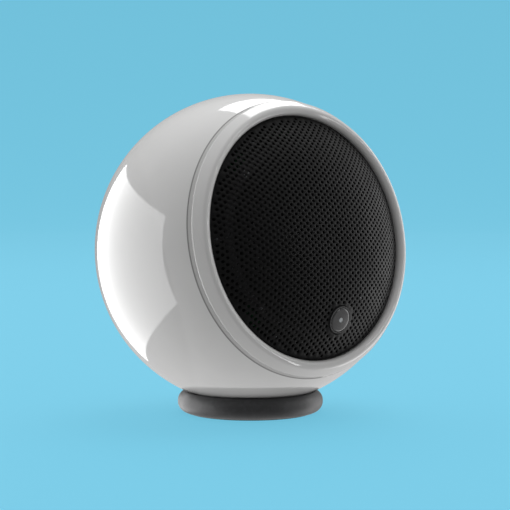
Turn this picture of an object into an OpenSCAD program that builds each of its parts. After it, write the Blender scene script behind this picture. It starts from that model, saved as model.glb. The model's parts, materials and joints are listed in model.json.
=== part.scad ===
// Ball-shaped wireless smart speaker on a magnetic swivel ring.
// Frame: +Z up, origin at the centre of the foot's underside, listening side towards -Y.
// Inside the ball a second frame is used: z along the listening axis, y up, origin at the ball's centre.

/* [Ball] */
// Outer diameter of the steel ball
ball_d = 127; // [124:0.5:160]
// Wall of the steel ball
shell_t = 1.5; // [1:0.1:2]
// Plane of the front opening, from the ball's centre
front_cut = 32.9; // [31:0.1:34]
// Plane of the rear opening, from the ball's centre
rear_cut = 58.4; // [57.6:0.1:58.8]
// Upward aim of the listening axis at rest, in degrees
aim_tilt = 9.5; // [0:0.5:20]

/* [Bezel and grille] */
// How far the bezel stands proud of the ball
bezel_proud = 0.7; // [0.3:0.1:1.2]
// Rounding of the bezel's back edge, where it meets the ball
bezel_edge = 0.45; // [0.2:0.05:0.6]
// Chamfer of the ball's front edge, across its wall, which makes the groove behind the bezel
shell_edge = 0.75; // [0.1:0.05:0.9]
// Radius of the bezel's rounded lip
lip_r = 2.15; // [1.7:0.05:2.5]
// Radius of the bezel's inner wall
bezel_in_r = 48.55; // [47.8:0.05:49]
// Rise of the grille's dome
dome_h = 13.4; // [8:0.2:16]
// How square-shouldered the dome is: 2 is a parabola
dome_power = 2.7; // [2:0.1:3.5]
// Sheet of the grille
mesh_t = 0.8; // [0.5:0.1:1.2]

/* [Driver] */
// Radius of the driver's mounting flange
flange_r = 38.5; // [36.5:0.1:38.7]
// Outer radius of the driver's magnet
magnet_r = 29; // [24:0.5:29.5]
// Thickness of the driver's magnet
magnet_t = 12; // [8:0.5:14]
// Radius of the voice coil's former
coil_r = 10; // [8:0.1:12]
// Travel of the cone each way
cone_travel = 2.5; // [1:0.1:3]

/* [Front button] */
// Radius of the button's cap
button_r = 4.85; // [4.4:0.05:6]
// Sideways place of the button on the grille
button_x = 5.1; // [0:0.1:10]
// Height of the button on the grille, from the listening axis
button_y = -33.7; // [-36:0.1:-30]
// Travel of the button
button_travel = 0.8; // [0.4:0.1:1.2]

/* [Swivel base] */
// Outer radius of the base ring
ring_r = 29.8; // [28:0.1:34]
// Height of the base ring
ring_h = 9.4; // [8:0.1:11]
// Height of the ball's lowest point above the table
ball_lift = 3.3; // [3.3:0.1:4.5]
// Thickness of the non-slip foot
foot_t = 1; // [0.6:0.1:1]
// Thickness of the steel base plate
plate_t = 1.4; // [1:0.1:1.5]
// Thickness of the low-friction washer under the turntable
washer_t = 0.3; // [0.2:0.05:0.4]

/* [Fits] */
// Gap between pieces that slide or turn on each other
run_gap = 0.1; // [0.05:0.01:0.15]
// Gap between pieces that are only put together
seat_gap = 0.05; // [0.03:0.01:0.1]

/* [Hidden] */
$fn = 96;
EPS = 0.01;

WHITE = "#f0f0ee";
BLACK = "#141414";
GREY = "#3a3a3c";
STEEL = "#b9bcc0";
BRASS = "#c9a227";
COPPER = "#b8703a";
BOARD = "#1d5a38";

ball_r = ball_d / 2;
ball_z = ball_r + ball_lift;

// Front stack, along the listening axis.
baffle_front = front_cut + 0.1;
baffle_t = 3;
baffle_back = baffle_front - baffle_t;
gasket_t = 1;
shell_flange_front = baffle_back - gasket_t;
shell_flange_t = 1.8;
baffle_r = sqrt(pow(ball_r - shell_t, 2) - pow(front_cut, 2)) - 0.3;
bezel_screw_r = bezel_in_r + 1.45;
lining_t = 5;
lining_front_gap = 13.2;
lining_rear_gap = 10.8;

// Bezel: its band is a sphere a little larger than the ball, and its lip is tangent to that band.
band_r = ball_r + bezel_proud;
lip_x = bezel_in_r + lip_r;
lip_z = sqrt(pow(band_r - lip_r, 2) - pow(lip_x, 2));
lip_turn = atan2(lip_z, lip_x);
bezel_edge_turn = asin((baffle_front + bezel_edge) / (band_r - bezel_edge));
bezel_edge_r = (band_r - bezel_edge) * cos(bezel_edge_turn);
shell_front_r = sqrt(pow(ball_r, 2) - pow(front_cut, 2));

// Grille.
mesh_r = bezel_in_r - 0.35;
mesh_z = lip_z - 0.2;
frame_out = mesh_r - mesh_t - seat_gap;
frame_in = frame_out - 1.5;
baffle_screw_r = frame_in - 2.05;
shell_flange_in = baffle_screw_r - 2.3;
mic_r = shell_flange_in + 0.8;
function dome_z(r) = mesh_z + dome_h * (1 - pow(r / mesh_r, dome_power));
function dome_slope(r) = atan(dome_h * dome_power / mesh_r * pow(r / mesh_r, dome_power - 1));

// Driver, hung from the baffle.
cutout_r = flange_r - 3.9;
driver_screw_r = flange_r - 2;
driver_seat = baffle_front - 2;
basket_flange = driver_seat + 0.4;
basket_flange_t = 1.5;
surround_z = basket_flange + basket_flange_t;
roll_r = 2.7;
roll_x = flange_r - 7.9;
top_plate_z = basket_flange - 21;
top_plate_t = 4;
magnet_z = top_plate_z - top_plate_t;
back_plate_z = magnet_z - magnet_t;
back_plate_t = 4;
spider_z = basket_flange - 16;
winding_t = 0.55;
former_t = 0.2;

// Front button, square to the dome where it stands.
button_at = norm([button_x, button_y]);
button_turn = atan2(button_y, button_x);
button_lean = dome_slope(button_at);
wire_hole_r = 40.4;
wire_run_r = 31.2;
mic_wire_y = 3.8;
collar_r = button_r + 0.15 + 0.5;
housing_depth = 5.4;

// Where the button's cable leaves its housing, and the point its first bend aims at: radius and height.
button_back = [
    button_at - (housing_depth + 0.05) * sin(button_lean),
    dome_z(button_at) - (housing_depth + 0.05) * cos(button_lean)
];
button_knee = [
    button_at - (housing_depth + 3) * sin(button_lean),
    0,
    dome_z(button_at) - (housing_depth + 3) * cos(button_lean)
];

// Boards.
post_r = 38.6;
standoff_r = 34.3;
carrier_z = -14;
board_z = -20;
board_t = 1.6;
board_r = 36;

// Rear panel.
rear_gasket_t = 0.4;
rear_opening = 18.9;
rear_face = -(rear_cut + rear_gasket_t + 1.8);
io_z = rear_face + 10.6;
io_post = [14.5, -3];
rear_r = sqrt(pow(ball_r, 2) - pow(rear_cut, 2)) - 0.9;
rear_screw_r = 21;
insert_bore = 2.55;
insert_depth = 9;
inlet_y = -13;
pairing_at = [-7.5, 10];
mute_at = [5.5, 10.5];
flange_z = rear_face + 3.15;
mute_travel = 2.8;

// Base, from the table up.
ring_round = 4.2;
ring_lift = 0.3;
plate_r = ring_r - 2.8;
foot_r = plate_r - 1.6;
plate_z = foot_t;
washer_z = plate_z + plate_t;
cup_z = washer_z + washer_t + run_gap;
hub_r = 12.9;
hub_top = ball_lift + 0.7;
cup_wall_gap = 0.15;
liner_t = 0.8;
liner_r = ball_r + run_gap;
cup_seat_r = liner_r + liner_t + seat_gap;
cup_top = ring_h - 0.4;

// The turntable fits inside the ring and under the ball.
cup_out = min(ring_r - 3.7, sqrt(pow(liner_r, 2) - pow(ball_z - cup_top, 2)) - 0.43);
seat_magnet_r = 3;
seat_magnet_at = cup_out - seat_magnet_r - 1.1;

// Each magnet fills the room under the liner, less the cup's thin floor over it.
magnet_cover = 0.36;
magnet_room = ball_z - sqrt(pow(cup_seat_r, 2) - pow(seat_magnet_at - seat_magnet_r, 2)) - cup_z;
seat_magnet_t = magnet_room - seat_gap - magnet_cover;

function arc(c, r, a0, a1, n = 12) =
    [for (i = [0 : n]) let (a = a0 + (a1 - a0) * i / n) [c[0] + r * cos(a), c[1] + r * sin(a)]];

// ---- placing ----

module in_ball() {
    translate([0, 0, ball_z]) rotate([90 - aim_tilt, 0, 0]) children();
}

module around(n, r, first = 0) {
    for (i = [0 : n - 1]) rotate([0, 0, first + 360 * i / n]) translate([r, 0, 0]) children();
}

module at_button() {
    translate([button_x, button_y, dome_z(button_at)]) rotate([0, 0, button_turn])
        rotate([0, button_lean, 0]) children();
}

// ---- shared shapes ----

module tube(r_out, r_in, z0, z1) {
    difference() {
        translate([0, 0, z0]) cylinder(r = r_out, h = z1 - z0);
        translate([0, 0, z0 - 1]) cylinder(r = r_in, h = z1 - z0 + 2);
    }
}

// Half plane profile between two radii of a sphere, kept between two heights.
module sphere_band(r_out, r_in, z0, z1) {
    intersection() {
        difference() {
            circle(r = r_out);
            circle(r = r_in);
        }
        translate([0, z0]) square([r_out + 1, z1 - z0]);
    }
}

// A pan-head screw whose head's underside is at z 0, pointing down.
module screw(r, length, head_r, head_h) {
    difference() {
        union() {
            translate([0, 0, -length]) cylinder(r = r, h = length + EPS);
            cylinder(r = head_r, h = head_h);
        }
        translate([0, 0, head_h * 0.45]) cylinder(r = head_r * 0.45, h = head_h, $fn = 6);
    }
}

// A round cable swept along a route: one ring of points for each route point.
module cable(route, r, sides = 8) {
    n = len(route);
    tangents = [for (i = [0 : n - 1]) let (d = route[min(i + 1, n - 1)] - route[max(i - 1, 0)]) d / norm(d)];
    rings = [for (i = [0 : n - 1])
        let (t = tangents[i], s = cross(t, abs(t[0]) < 0.8 ? [1, 0, 0] : [0, 1, 0]), u = s / norm(s),
             v = cross(t, u))
        for (k = [0 : sides - 1]) route[i] + r * (cos(360 * k / sides) * u + sin(360 * k / sides) * v)];
    walls = [for (i = [0 : n - 2], k = [0 : sides - 1])
        [i * sides + k, i * sides + (k + 1) % sides,
         (i + 1) * sides + (k + 1) % sides, (i + 1) * sides + k]];
    caps = [[for (k = [sides - 1 : -1 : 0]) k], [for (k = [0 : sides - 1]) (n - 1) * sides + k]];
    polyhedron(points = rings, faces = concat(walls, caps));
}

// Points of a smooth curve through three control points.
function bend(a, b, c, n = 8) =
    [for (i = [0 : n]) let (t = i / n) a * (1 - t) * (1 - t) + b * 2 * t * (1 - t) + c * t * t];

// ---- ball ----

module shell() color(WHITE) in_ball() {
    difference() {
        rotate_extrude() union() {
            difference() {
                sphere_band(ball_r, ball_r - shell_t, -rear_cut, front_cut);
                translate([shell_front_r - shell_edge, front_cut])
                    polygon([[0, 0], [0, 1], [shell_edge + 2, 1], [shell_edge + 2, -shell_edge - 2]]);
            }
            intersection() {
                circle(r = ball_r - shell_t / 2);
                translate([shell_flange_in, shell_flange_front - shell_flange_t])
                    square([ball_r, shell_flange_t]);
            }
            intersection() {
                circle(r = ball_r - shell_t / 2);
                translate([rear_opening, -rear_cut]) square([ball_r, 1.5]);
            }
        }
        around(6, baffle_screw_r) translate([0, 0, shell_flange_front - 4])
            cylinder(r = 1.2, h = 6, $fn = 24);
        around(4, rear_screw_r, 45) translate([0, 0, -rear_cut - 1]) cylinder(r = 1, h = 4, $fn = 24);
    }
}

module acoustic_lining() color("#cfcabd") in_ball() rotate_extrude()
    sphere_band(ball_r - shell_t - seat_gap, ball_r - shell_t - lining_t,
        lining_rear_gap - rear_cut, shell_flange_front - shell_flange_t - lining_front_gap);

module shell_gasket() color(BLACK) in_ball() difference() {
    tube(baffle_screw_r + 6.2, shell_flange_in + 0.3, shell_flange_front, baffle_back);
    around(6, baffle_screw_r) translate([0, 0, shell_flange_front - 1]) cylinder(r = 1.3, h = 3, $fn = 24);
}

module wire_hole(y, r) {
    translate([wire_hole_r, y, baffle_back - 1]) cylinder(r = r, h = 6, $fn = 24);
}

// Plate that carries the driver, with three posts behind it for the board carrier.
module front_baffle() color(BLACK) in_ball() difference() {
    union() {
        tube(baffle_r, cutout_r, baffle_back, baffle_front);
        around(3, post_r, 30) translate([0, 0, carrier_z])
            cylinder(r = 2.2, h = baffle_back - carrier_z + EPS);
    }
    around(3, post_r, 30) translate([0, 0, carrier_z - 1]) cylinder(r = 0.9, h = 7, $fn = 24);
    translate([0, 0, driver_seat]) cylinder(r = flange_r + 0.2, h = 5);
    around(6, baffle_screw_r) translate([0, 0, baffle_back - 1]) cylinder(r = 1.3, h = 6, $fn = 24);
    around(4, driver_screw_r, 45) translate([0, 0, baffle_back - 1]) cylinder(r = 0.9, h = 6, $fn = 24);
    around(6, bezel_screw_r, 30) translate([0, 0, baffle_back - 1]) {
        cylinder(r = 1, h = 6, $fn = 24);
        cylinder(r = 1.8, h = 2.5, $fn = 24);
    }
    rotate([0, 0, button_turn]) wire_hole(0, 0.9);
    rotate([0, 0, 90]) wire_hole(0, 0.7);
    for (a = [45 : 90 : 315]) rotate([0, 0, a]) wire_hole(mic_wire_y, 0.7);
}

module baffle_screws() color(STEEL) in_ball()
    around(6, baffle_screw_r) translate([0, 0, baffle_front]) screw(1.15, 6.5, 2, 1.5, $fn = 24);

module bezel_profile() {
    polygon(concat(
        [[bezel_in_r, baffle_front]],
        arc([bezel_edge_r, baffle_front + bezel_edge], bezel_edge, -90, bezel_edge_turn, 5),
        arc([0, 0], band_r, bezel_edge_turn, lip_turn, 6),
        arc([lip_x, lip_z], lip_r, lip_turn + 10, 180, 17)
    ));
}

module bezel() color(WHITE) in_ball() difference() {
    rotate_extrude() bezel_profile();
    around(6, bezel_screw_r, 30) translate([0, 0, baffle_front - 1]) cylinder(r = 0.85, h = 3.2, $fn = 24);
}

module bezel_screws() color(STEEL) in_ball()
    around(6, bezel_screw_r, 30) translate([0, 0, baffle_back + 1.5]) mirror([0, 0, 1])
        screw(0.8, 3.3, 1.7, 1.2, $fn = 24);

module grille_frame() color(BLACK) in_ball() tube(frame_out, frame_in, baffle_front, mesh_z - mesh_t - 0.2);

module grille() color(BLACK) in_ball() difference() {
    rotate_extrude() polygon(concat(
        [for (i = [0 : 20]) let (r = mesh_r * i / 20) [r, dome_z(r)]],
        [[mesh_r, baffle_front], [mesh_r - mesh_t, baffle_front]],
        [for (i = [20 : -1 : 0]) let (r = mesh_r * i / 20)
            [r * (1 - mesh_t / mesh_r), dome_z(r) - mesh_t]]
    ));
    at_button() translate([0, 0, -3]) cylinder(r = collar_r + seat_gap, h = 6);
}

// ---- driver ----

module driver_basket() color(GREY) in_ball() difference() {
    rotate_extrude() polygon([
        [cutout_r - 1.6, surround_z], [flange_r, surround_z],
        [flange_r, basket_flange], [cutout_r - 0.4, basket_flange],
        [cutout_r - 0.8, spider_z + 10], [28, top_plate_z + 2], [28, top_plate_z], [14, top_plate_z],
        [14, top_plate_z + 1.2], [23, top_plate_z + 1.2], [23, spider_z], [26.4, spider_z],
        [cutout_r - 2.4, spider_z + 10.6], [cutout_r - 1.6, basket_flange]
    ]);
    for (a = [0, 90]) rotate([0, 0, a]) translate([0, 0, spider_z + 6]) cube([90, 26, 8], center = true);
    around(4, driver_screw_r, 45) translate([0, 0, driver_seat - 1]) cylinder(r = 1.1, h = 6, $fn = 24);
}

module driver_gasket() color(BLACK) in_ball() difference() {
    tube(flange_r, cutout_r + 0.2, driver_seat, basket_flange);
    around(4, driver_screw_r, 45) translate([0, 0, driver_seat - 1]) cylinder(r = 1.1, h = 3, $fn = 24);
}

module driver_screws() color(STEEL) in_ball()
    around(4, driver_screw_r, 45) translate([0, 0, surround_z]) screw(0.85, 5.5, 1.6, 1.1, $fn = 24);

module driver_top_plate() color(STEEL) in_ball() tube(27.5, coil_r + 1.1, magnet_z, top_plate_z);

module driver_magnet() color("#4a4a4d") in_ball() tube(magnet_r, 14, back_plate_z, magnet_z);

module driver_back_plate() color(STEEL) in_ball() {
    translate([0, 0, back_plate_z - back_plate_t]) cylinder(r = 27.5, h = back_plate_t);
    translate([0, 0, back_plate_z - EPS]) cylinder(r = coil_r - 0.5, h = magnet_t + top_plate_t + EPS);
}

module surround() color(BLACK) in_ball() rotate_extrude() polygon(concat(
    [[cutout_r, surround_z], [cutout_r, surround_z + 0.4]],
    arc([roll_x, surround_z], roll_r, 8, 172, 16),
    [[roll_x - roll_r - 1.4, surround_z + 0.4], [roll_x - roll_r - 1.4, surround_z]],
    arc([roll_x, surround_z], roll_r - 0.4, 172, 8, 16)
));

// Height of the spider's underside: a flat outer landing and six round waves inside it.
spider_in = coil_r + 0.2;
spider_landing = 22.5;
spider_out = 25.4;
function spider_wave(r) = spider_z + 0.3 + 0.9 * sin((r - coil_r) * 120) * min(1, (25 - r) / 2);
function spider_under(r) = max(spider_z + (r > spider_landing ? 0.02 : -2), spider_wave(r));

module spider() color("#c7a45a") in_ball() {
    radii = [for (i = [0 : 40]) spider_in + (spider_out - spider_in) * i / 40];
    rotate_extrude() polygon(concat(
        [for (r = radii) [r, spider_under(r)]],
        [for (i = [40 : -1 : 0]) [radii[i], spider_under(radii[i]) + 0.35]]
    ));
}

cone_top = surround_z - 0.1;
cone_edge = roll_x - roll_r + 0.1;
cone_neck = spider_z - 1.9;

module cone() color("#1b1b1d") in_ball() rotate_extrude() polygon([
    [coil_r + 0.15, cone_neck + 3.6], [cone_edge - 1.5, cone_top - 0.6], [cone_edge - 0.2, cone_top - 0.6],
    [cone_edge - 0.2, cone_top], [cone_edge - 1.9, cone_top], [coil_r + 0.15, cone_neck + 4.4]
]);

module dust_cap() color("#1b1b1d") in_ball() {
    base_r = 11;
    rise = 4;
    r = (base_r * base_r + rise * rise) / (2 * rise);
    base_z = cone_neck + 5.22;
    translate([0, 0, base_z + rise - r]) rotate_extrude() sphere_band(r, r - 0.5, r - rise, r + 1);
}

module coil_former() color("#c9a06a") in_ball()
    tube(coil_r, coil_r - former_t, magnet_z - 2.9, cone_neck + 3.3);

module voice_coil() color(COPPER) in_ball()
    tube(coil_r + winding_t, coil_r + 0.02, magnet_z - 1.5, top_plate_z + 1.5);

module driver_terminals() color("#7a4a2a") in_ball() rotate([0, 0, 45])
    translate([cutout_r, 0, spider_z + 9]) {
        cube([1.2, 11, 7], center = true);
        for (s = [-1, 1]) translate([1.5, s * 3, 0]) cube([2, 2, 5], center = true);
    }

// ---- front electronics ----

module mic_boards() color(BOARD) in_ball() for (a = [45 : 90 : 315])
    rotate([0, 0, a]) translate([mic_r, 0, baffle_front]) {
        translate([-2.5, -4.5, 0]) cube([5, 9, 0.8]);
        color(BRASS) translate([-1.5, -2, 0.8 - EPS]) cube([3, 4, 1.1 + EPS]);
    }

module button_housing() color(BLACK) in_ball() at_button() difference() {
    union() {
        translate([0, 0, -housing_depth]) cylinder(r = collar_r, h = housing_depth + 0.35);
        translate([0, 0, -2.2]) cylinder(r = collar_r + 0.9, h = 0.6);
    }
    translate([0, 0, -housing_depth + 0.6]) cylinder(r = button_r + 0.15, h = housing_depth + 2);
    translate([0, 0, -housing_depth - 1]) cylinder(r = 1, h = 3, $fn = 24);
}

module button_board() color(BOARD) in_ball() at_button() translate([0, 0, -housing_depth + 0.6])
    cylinder(r = button_r, h = 0.6);

module status_led() color("#f4f1d8") in_ball() at_button() translate([-0.8, -0.4, -housing_depth + 1.2])
    cube([1.6, 0.8, 0.5]);

// Collapsible silicone dome under the cap.
module button_dome() color(GREY) in_ball() at_button() rotate_extrude() polygon([
    [3, -housing_depth + 1.2], [4.2, -housing_depth + 1.2], [4.2, -housing_depth + 1.5],
    [2.8, -2.4], [1.6, -2.4], [1.6, -2.8], [2.5, -2.8], [3, -housing_depth + 1.6]
]);

module button_cap() color("#2a2a2c") in_ball() at_button() difference() {
    rotate_extrude() polygon(concat(
        [[1, -2.4], [button_r, -2.4]],
        arc([button_r - 0.5, -0.05], 0.5, 0, 80, 6),
        [for (i = [8 : -1 : 1]) let (r = 1 + (button_r - 1.6) * i / 8)
            [r, 0.47 + 0.18 * (1 - pow(r / button_r, 2))]],
        [[1, 0.62]]
    ));
}

module light_pipe() color("#eef3f5") in_ball() at_button() translate([0, 0, -2.7])
    cylinder(r = 0.95, h = 3.3);

// ---- boards ----

module board_carrier() color(BLACK) in_ball() difference() {
    tube(41, 33, carrier_z - 2, carrier_z);
    around(3, post_r, 30) translate([0, 0, carrier_z - 3]) cylinder(r = 0.9, h = 4, $fn = 24);
    around(3, standoff_r, 90) translate([0, 0, carrier_z - 3]) cylinder(r = 0.9, h = 4, $fn = 24);
}

module main_board() color(BOARD) in_ball() difference() {
    translate([0, 0, board_z - board_t]) cylinder(r = board_r, h = board_t);
    around(3, standoff_r, 90) translate([0, 0, board_z - 3]) cylinder(r = 0.9, h = 4, $fn = 24);
}

module board_standoffs() color(BRASS) in_ball() around(3, standoff_r, 90) difference() {
    translate([0, 0, board_z]) cylinder(r = 1.6, h = carrier_z - 2 - board_z, $fn = 6);
    translate([0, 0, board_z - 1]) cylinder(r = 0.9, h = 8, $fn = 24);
}

// Three hold the carrier to the baffle's posts and three hold the main board to the standoffs.
module board_screws() color(STEEL) in_ball() {
    around(3, post_r, 30) translate([0, 0, carrier_z - 2]) mirror([0, 0, 1])
        screw(0.85, 7, 1.6, 1.2, $fn = 24);
    around(3, standoff_r, 90) translate([0, 0, board_z - board_t]) mirror([0, 0, 1])
        screw(0.85, 7, 1.6, 1.2, $fn = 24);
}

module heatsink() color(STEEL) in_ball() translate([-12, 10, board_z - board_t]) mirror([0, 0, 1]) {
    translate([-10, -10, 0]) cube([20, 20, 2]);
    for (i = [0 : 5]) translate([-10 + 3.7 * i, -10, 2 - EPS]) cube([1.5, 20, 7]);
}

module wireless_module() color("#d8dadc") in_ball() translate([8, 8, board_z - board_t]) mirror([0, 0, 1]) {
    cube([18, 13, 0.8]);
    translate([1, 1, 0.8 - EPS]) cube([12, 11, 2]);
}

module capacitors() color("#26262c") in_ball() for (i = [0 : 2])
    translate([-14 + 10 * i, -14, board_z - board_t]) mirror([0, 0, 1]) cylinder(r = 4, h = 11);

module inductors() color(GREY) in_ball() for (i = [0 : 1])
    translate([16, -20 + 10 * i, board_z - board_t]) mirror([0, 0, 1]) cube([8, 8, 4]);

module antenna_board() color(BOARD) in_ball() translate([-11, flange_r + 1.3, baffle_front])
    cube([22, 4, 0.8]);

// ---- rear ----

module io_board() color(BOARD) in_ball() difference() {
    translate([0, 0, io_z]) cylinder(r = 17.5, h = board_t);
    translate([0, 0, io_z - 1]) cylinder(r = 6.8, h = 4);
    for (s = [-1, 1]) translate([s * io_post[0], io_post[1], io_z - 1]) cylinder(r = 0.9, h = 4, $fn = 24);
}

module io_screws() color(STEEL) in_ball() for (s = [-1, 1])
    translate([s * io_post[0], io_post[1], io_z + board_t]) screw(0.8, 4.5, 1.5, 1, $fn = 24);

module rear_gasket() color(BLACK) in_ball() difference() {
    tube(rear_r - 0.8, rear_opening, -rear_cut - rear_gasket_t, -rear_cut);
    around(4, rear_screw_r, 45) translate([0, 0, -rear_cut - 2]) cylinder(r = 1, h = 4, $fn = 24);
}

module rear_panel() color(BLACK) in_ball() difference() {
    union() {
        rotate_extrude() polygon(concat(
            [[0, rear_face + 3]], [[rear_opening - 2.2, rear_face + 3]],
            [[rear_opening - 2.2, -rear_cut + 3.5], [rear_opening - 0.3, -rear_cut + 3.5]],
            [[rear_opening - 0.3, -rear_cut - rear_gasket_t], [rear_r, -rear_cut - rear_gasket_t]],
            arc([rear_r - 1.5, rear_face + 1.5], 1.5, 0, -90, 8),
            [[0, rear_face]]
        ));
        translate([0, 0, rear_face + 1]) cylinder(r = 6.5, h = insert_depth);
        for (s = [-1, 1]) translate([s * io_post[0], io_post[1], rear_face + 2])
            cylinder(r = 1.9, h = io_z - rear_face - 2);
    }
    for (s = [-1, 1]) translate([s * io_post[0], io_post[1], io_z - 4]) cylinder(r = 0.85, h = 5, $fn = 24);
    translate([0, 0, rear_face - 1]) cylinder(r = 4.5 + seat_gap, h = insert_depth + 3);
    translate([0, inlet_y, rear_face - 1]) cylinder(r = 4.4 + seat_gap, h = 8);
    translate([pairing_at[0], pairing_at[1], rear_face - 1]) cylinder(r = 2.6 + run_gap, h = 6);
    translate([mute_at[0] - 1.5 - run_gap, mute_at[1] - 1.2 - run_gap, rear_face - 1])
        cube([3 + mute_travel + 2 * run_gap, 2.4 + 2 * run_gap, 6]);
    around(4, rear_screw_r, 45) translate([0, 0, rear_face - 1]) {
        cylinder(r = 1.1, h = 6, $fn = 24);
        cylinder(r = 1.9, h = 1.9, $fn = 32);
    }
}

module rear_screws() color(STEEL) in_ball()
    around(4, rear_screw_r, 45) translate([0, 0, rear_face + 0.9]) mirror([0, 0, 1])
        screw(0.95, 3.6, 1.8, 0.8, $fn = 32);

module mount_insert() color(BRASS) in_ball() difference() {
    translate([0, 0, rear_face]) cylinder(r = 4.5, h = insert_depth);
    translate([0, 0, rear_face - 1]) cylinder(r = insert_bore, h = insert_depth + 2);
}

module dc_inlet() color(BLACK) in_ball() translate([0, inlet_y, 0]) difference() {
    union() {
        translate([0, 0, rear_face]) cylinder(r = 4.4, h = io_z - rear_face);
        translate([-4.4, 0, rear_face + 3.1]) cube([8.8, 4.4, io_z - rear_face - 3.1]);
    }
    translate([0, 0, rear_face - 1]) cylinder(r = 2.75, h = 10);
}

module dc_inlet_pin() color(STEEL) in_ball() translate([0, inlet_y, rear_face + 1.2])
    cylinder(r = 1, h = 7.8, $fn = 32);

module pairing_switch() color(STEEL) in_ball() translate([pairing_at[0], pairing_at[1], io_z - 3.4]) {
    translate([-3, -3, 0]) cube([6, 6, 3.4]);
}

module pairing_button() color(GREY) in_ball() translate([pairing_at[0], pairing_at[1], rear_face - 0.7]) {
    cylinder(r = 2.6, h = 4.2);
    translate([0, 0, flange_z - rear_face + 0.7]) cylinder(r = 3.4, h = 0.8);
    cylinder(r = 1.4, h = io_z - 3.4 - 0.6 - rear_face + 0.7);
}

module mute_switch() color(STEEL) in_ball() translate([mute_at[0] - 3, mute_at[1] - 2, io_z - 3.4])
    cube([9, 4, 3.4]);

module mute_slider() color(GREY) in_ball() {
    translate([mute_at[0] - 1.5, mute_at[1] - 1.2, rear_face - 0.7])
        cube([3, 2.4, io_z - rear_face - 2.8]);
    translate([mute_at[0] - 2.4, mute_at[1] - 1.7, flange_z]) cube([4.8, 3.4, 0.8]);
}

// ---- wiring ----

// Route from the front of the baffle, past the driver, to the main board.
function front_route(z0, y, y1) = concat(
    [[wire_hole_r, y, z0], [wire_hole_r, y, baffle_back + 1]],
    bend([wire_hole_r, y, baffle_back - 1.5], [wire_hole_r, y1, 14], [wire_run_r + 1, y1, 4], 8),
    bend([wire_run_r, y1, 0], [wire_run_r, y1, -8], [wire_run_r, y1, board_z + 0.05], 4)
);

// Two leads from the driver's terminals back to the main board.
module speaker_leads() in_ball() for (s = [-1, 1]) color(s < 0 ? "#a01818" : BLACK) rotate([0, 0, 45])
    cable(concat(
        bend([cutout_r + 1.5, s * 3, spider_z + 6.45], [36.4, s * 3, 4], [wire_run_r, s * 2, 2], 8),
        bend([wire_run_r, s * 1.9, 0], [wire_run_r, s * 1.2, -10], [wire_run_r, s * 1.2, board_z + 0.05], 8)
    ), 0.65);

// Cables of the front button, the antenna and the four microphones.
module front_cables() color(GREY) in_ball() {
    rotate([0, 0, 90]) cable(front_route(baffle_front - 0.05, 0, 0), 0.5);
    for (a = [45 : 90 : 315]) rotate([0, 0, a])
        cable(front_route(baffle_front - 0.05, mic_wire_y, mic_wire_y + 2.4), 0.5);
    rotate([0, 0, button_turn]) cable(concat(
        bend([button_back[0], 0, button_back[1]], button_knee, [wire_hole_r, 0, baffle_front + 1], 8),
        front_route(baffle_front, 0, 0)
    ), 0.7);
}

// Bundle between the main board and the rear board.
module internal_harness() color(GREY) in_ball() cable(concat(
    bend([11, 4, io_z + board_t + 0.05], [11, 4, io_z + 9.6], [8.6, -1, io_z + 13], 8),
    bend([8, -3, board_z - 17], [2, -3, board_z - 12], [2, -3, board_z - board_t - 0.05], 8)
), 1.4);

// ---- base ----

// Rubber ring with a rounded side, gripping the edge of the base plate.
module base_ring() color(GREY) difference() {
    rotate_extrude() difference() {
        polygon(concat(
            [[foot_r - 5, ring_lift]],
            arc([ring_r - ring_round, ring_lift + ring_round], ring_round, -90, 0, 10),
            arc([ring_r - ring_round, ring_h - 0.2 - ring_round], ring_round, 0, 90, 10),
            [[foot_r - 5, ring_h - 0.2]]
        ));
        translate([0, -1]) square([foot_r + 0.2, plate_z + 2]);
        translate([0, plate_z]) square([plate_r, plate_t]);
        translate([0, washer_z - EPS]) square([cup_out + cup_wall_gap, ring_h]);
    }
    translate([0, 0, ball_z]) sphere(r = ball_r + 0.3);
}

// Steel disc with the raised hub that the turntable runs on.
module base_plate() color(STEEL) {
    translate([0, 0, plate_z]) cylinder(r = plate_r - seat_gap, h = plate_t);
    tube(hub_r, hub_r - 1.5, washer_z - EPS, hub_top);
}

module foot_pad() color(BLACK) cylinder(r = foot_r, h = foot_t);

module glide_washer() color("#e9e7df") tube(cup_out - 0.6, hub_r + 0.4, washer_z, washer_z + washer_t);

// Turntable that carries the ball's seat round the hub.
module seat_cup() color(BLACK) difference() {
    tube(cup_out - run_gap, hub_r + run_gap, cup_z, cup_top);
    translate([0, 0, ball_z]) sphere(r = cup_seat_r);
    around(6, seat_magnet_at) translate([0, 0, cup_z - 1])
        cylinder(r = seat_magnet_r + seat_gap, h = seat_magnet_t + 1.1, $fn = 48);
}

module seat_magnets() color(STEEL) around(6, seat_magnet_at) translate([0, 0, cup_z + seat_gap])
    cylinder(r = seat_magnet_r, h = seat_magnet_t, $fn = 48);

// Felt ring that the ball slides on.
module seat_liner() color("#2c2c2e") intersection() {
    translate([0, 0, ball_z]) difference() {
        sphere(r = liner_r + liner_t);
        sphere(r = liner_r);
    }
    tube(cup_out - 0.6, hub_r + 1.2, washer_z, ring_h);
}

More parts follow.
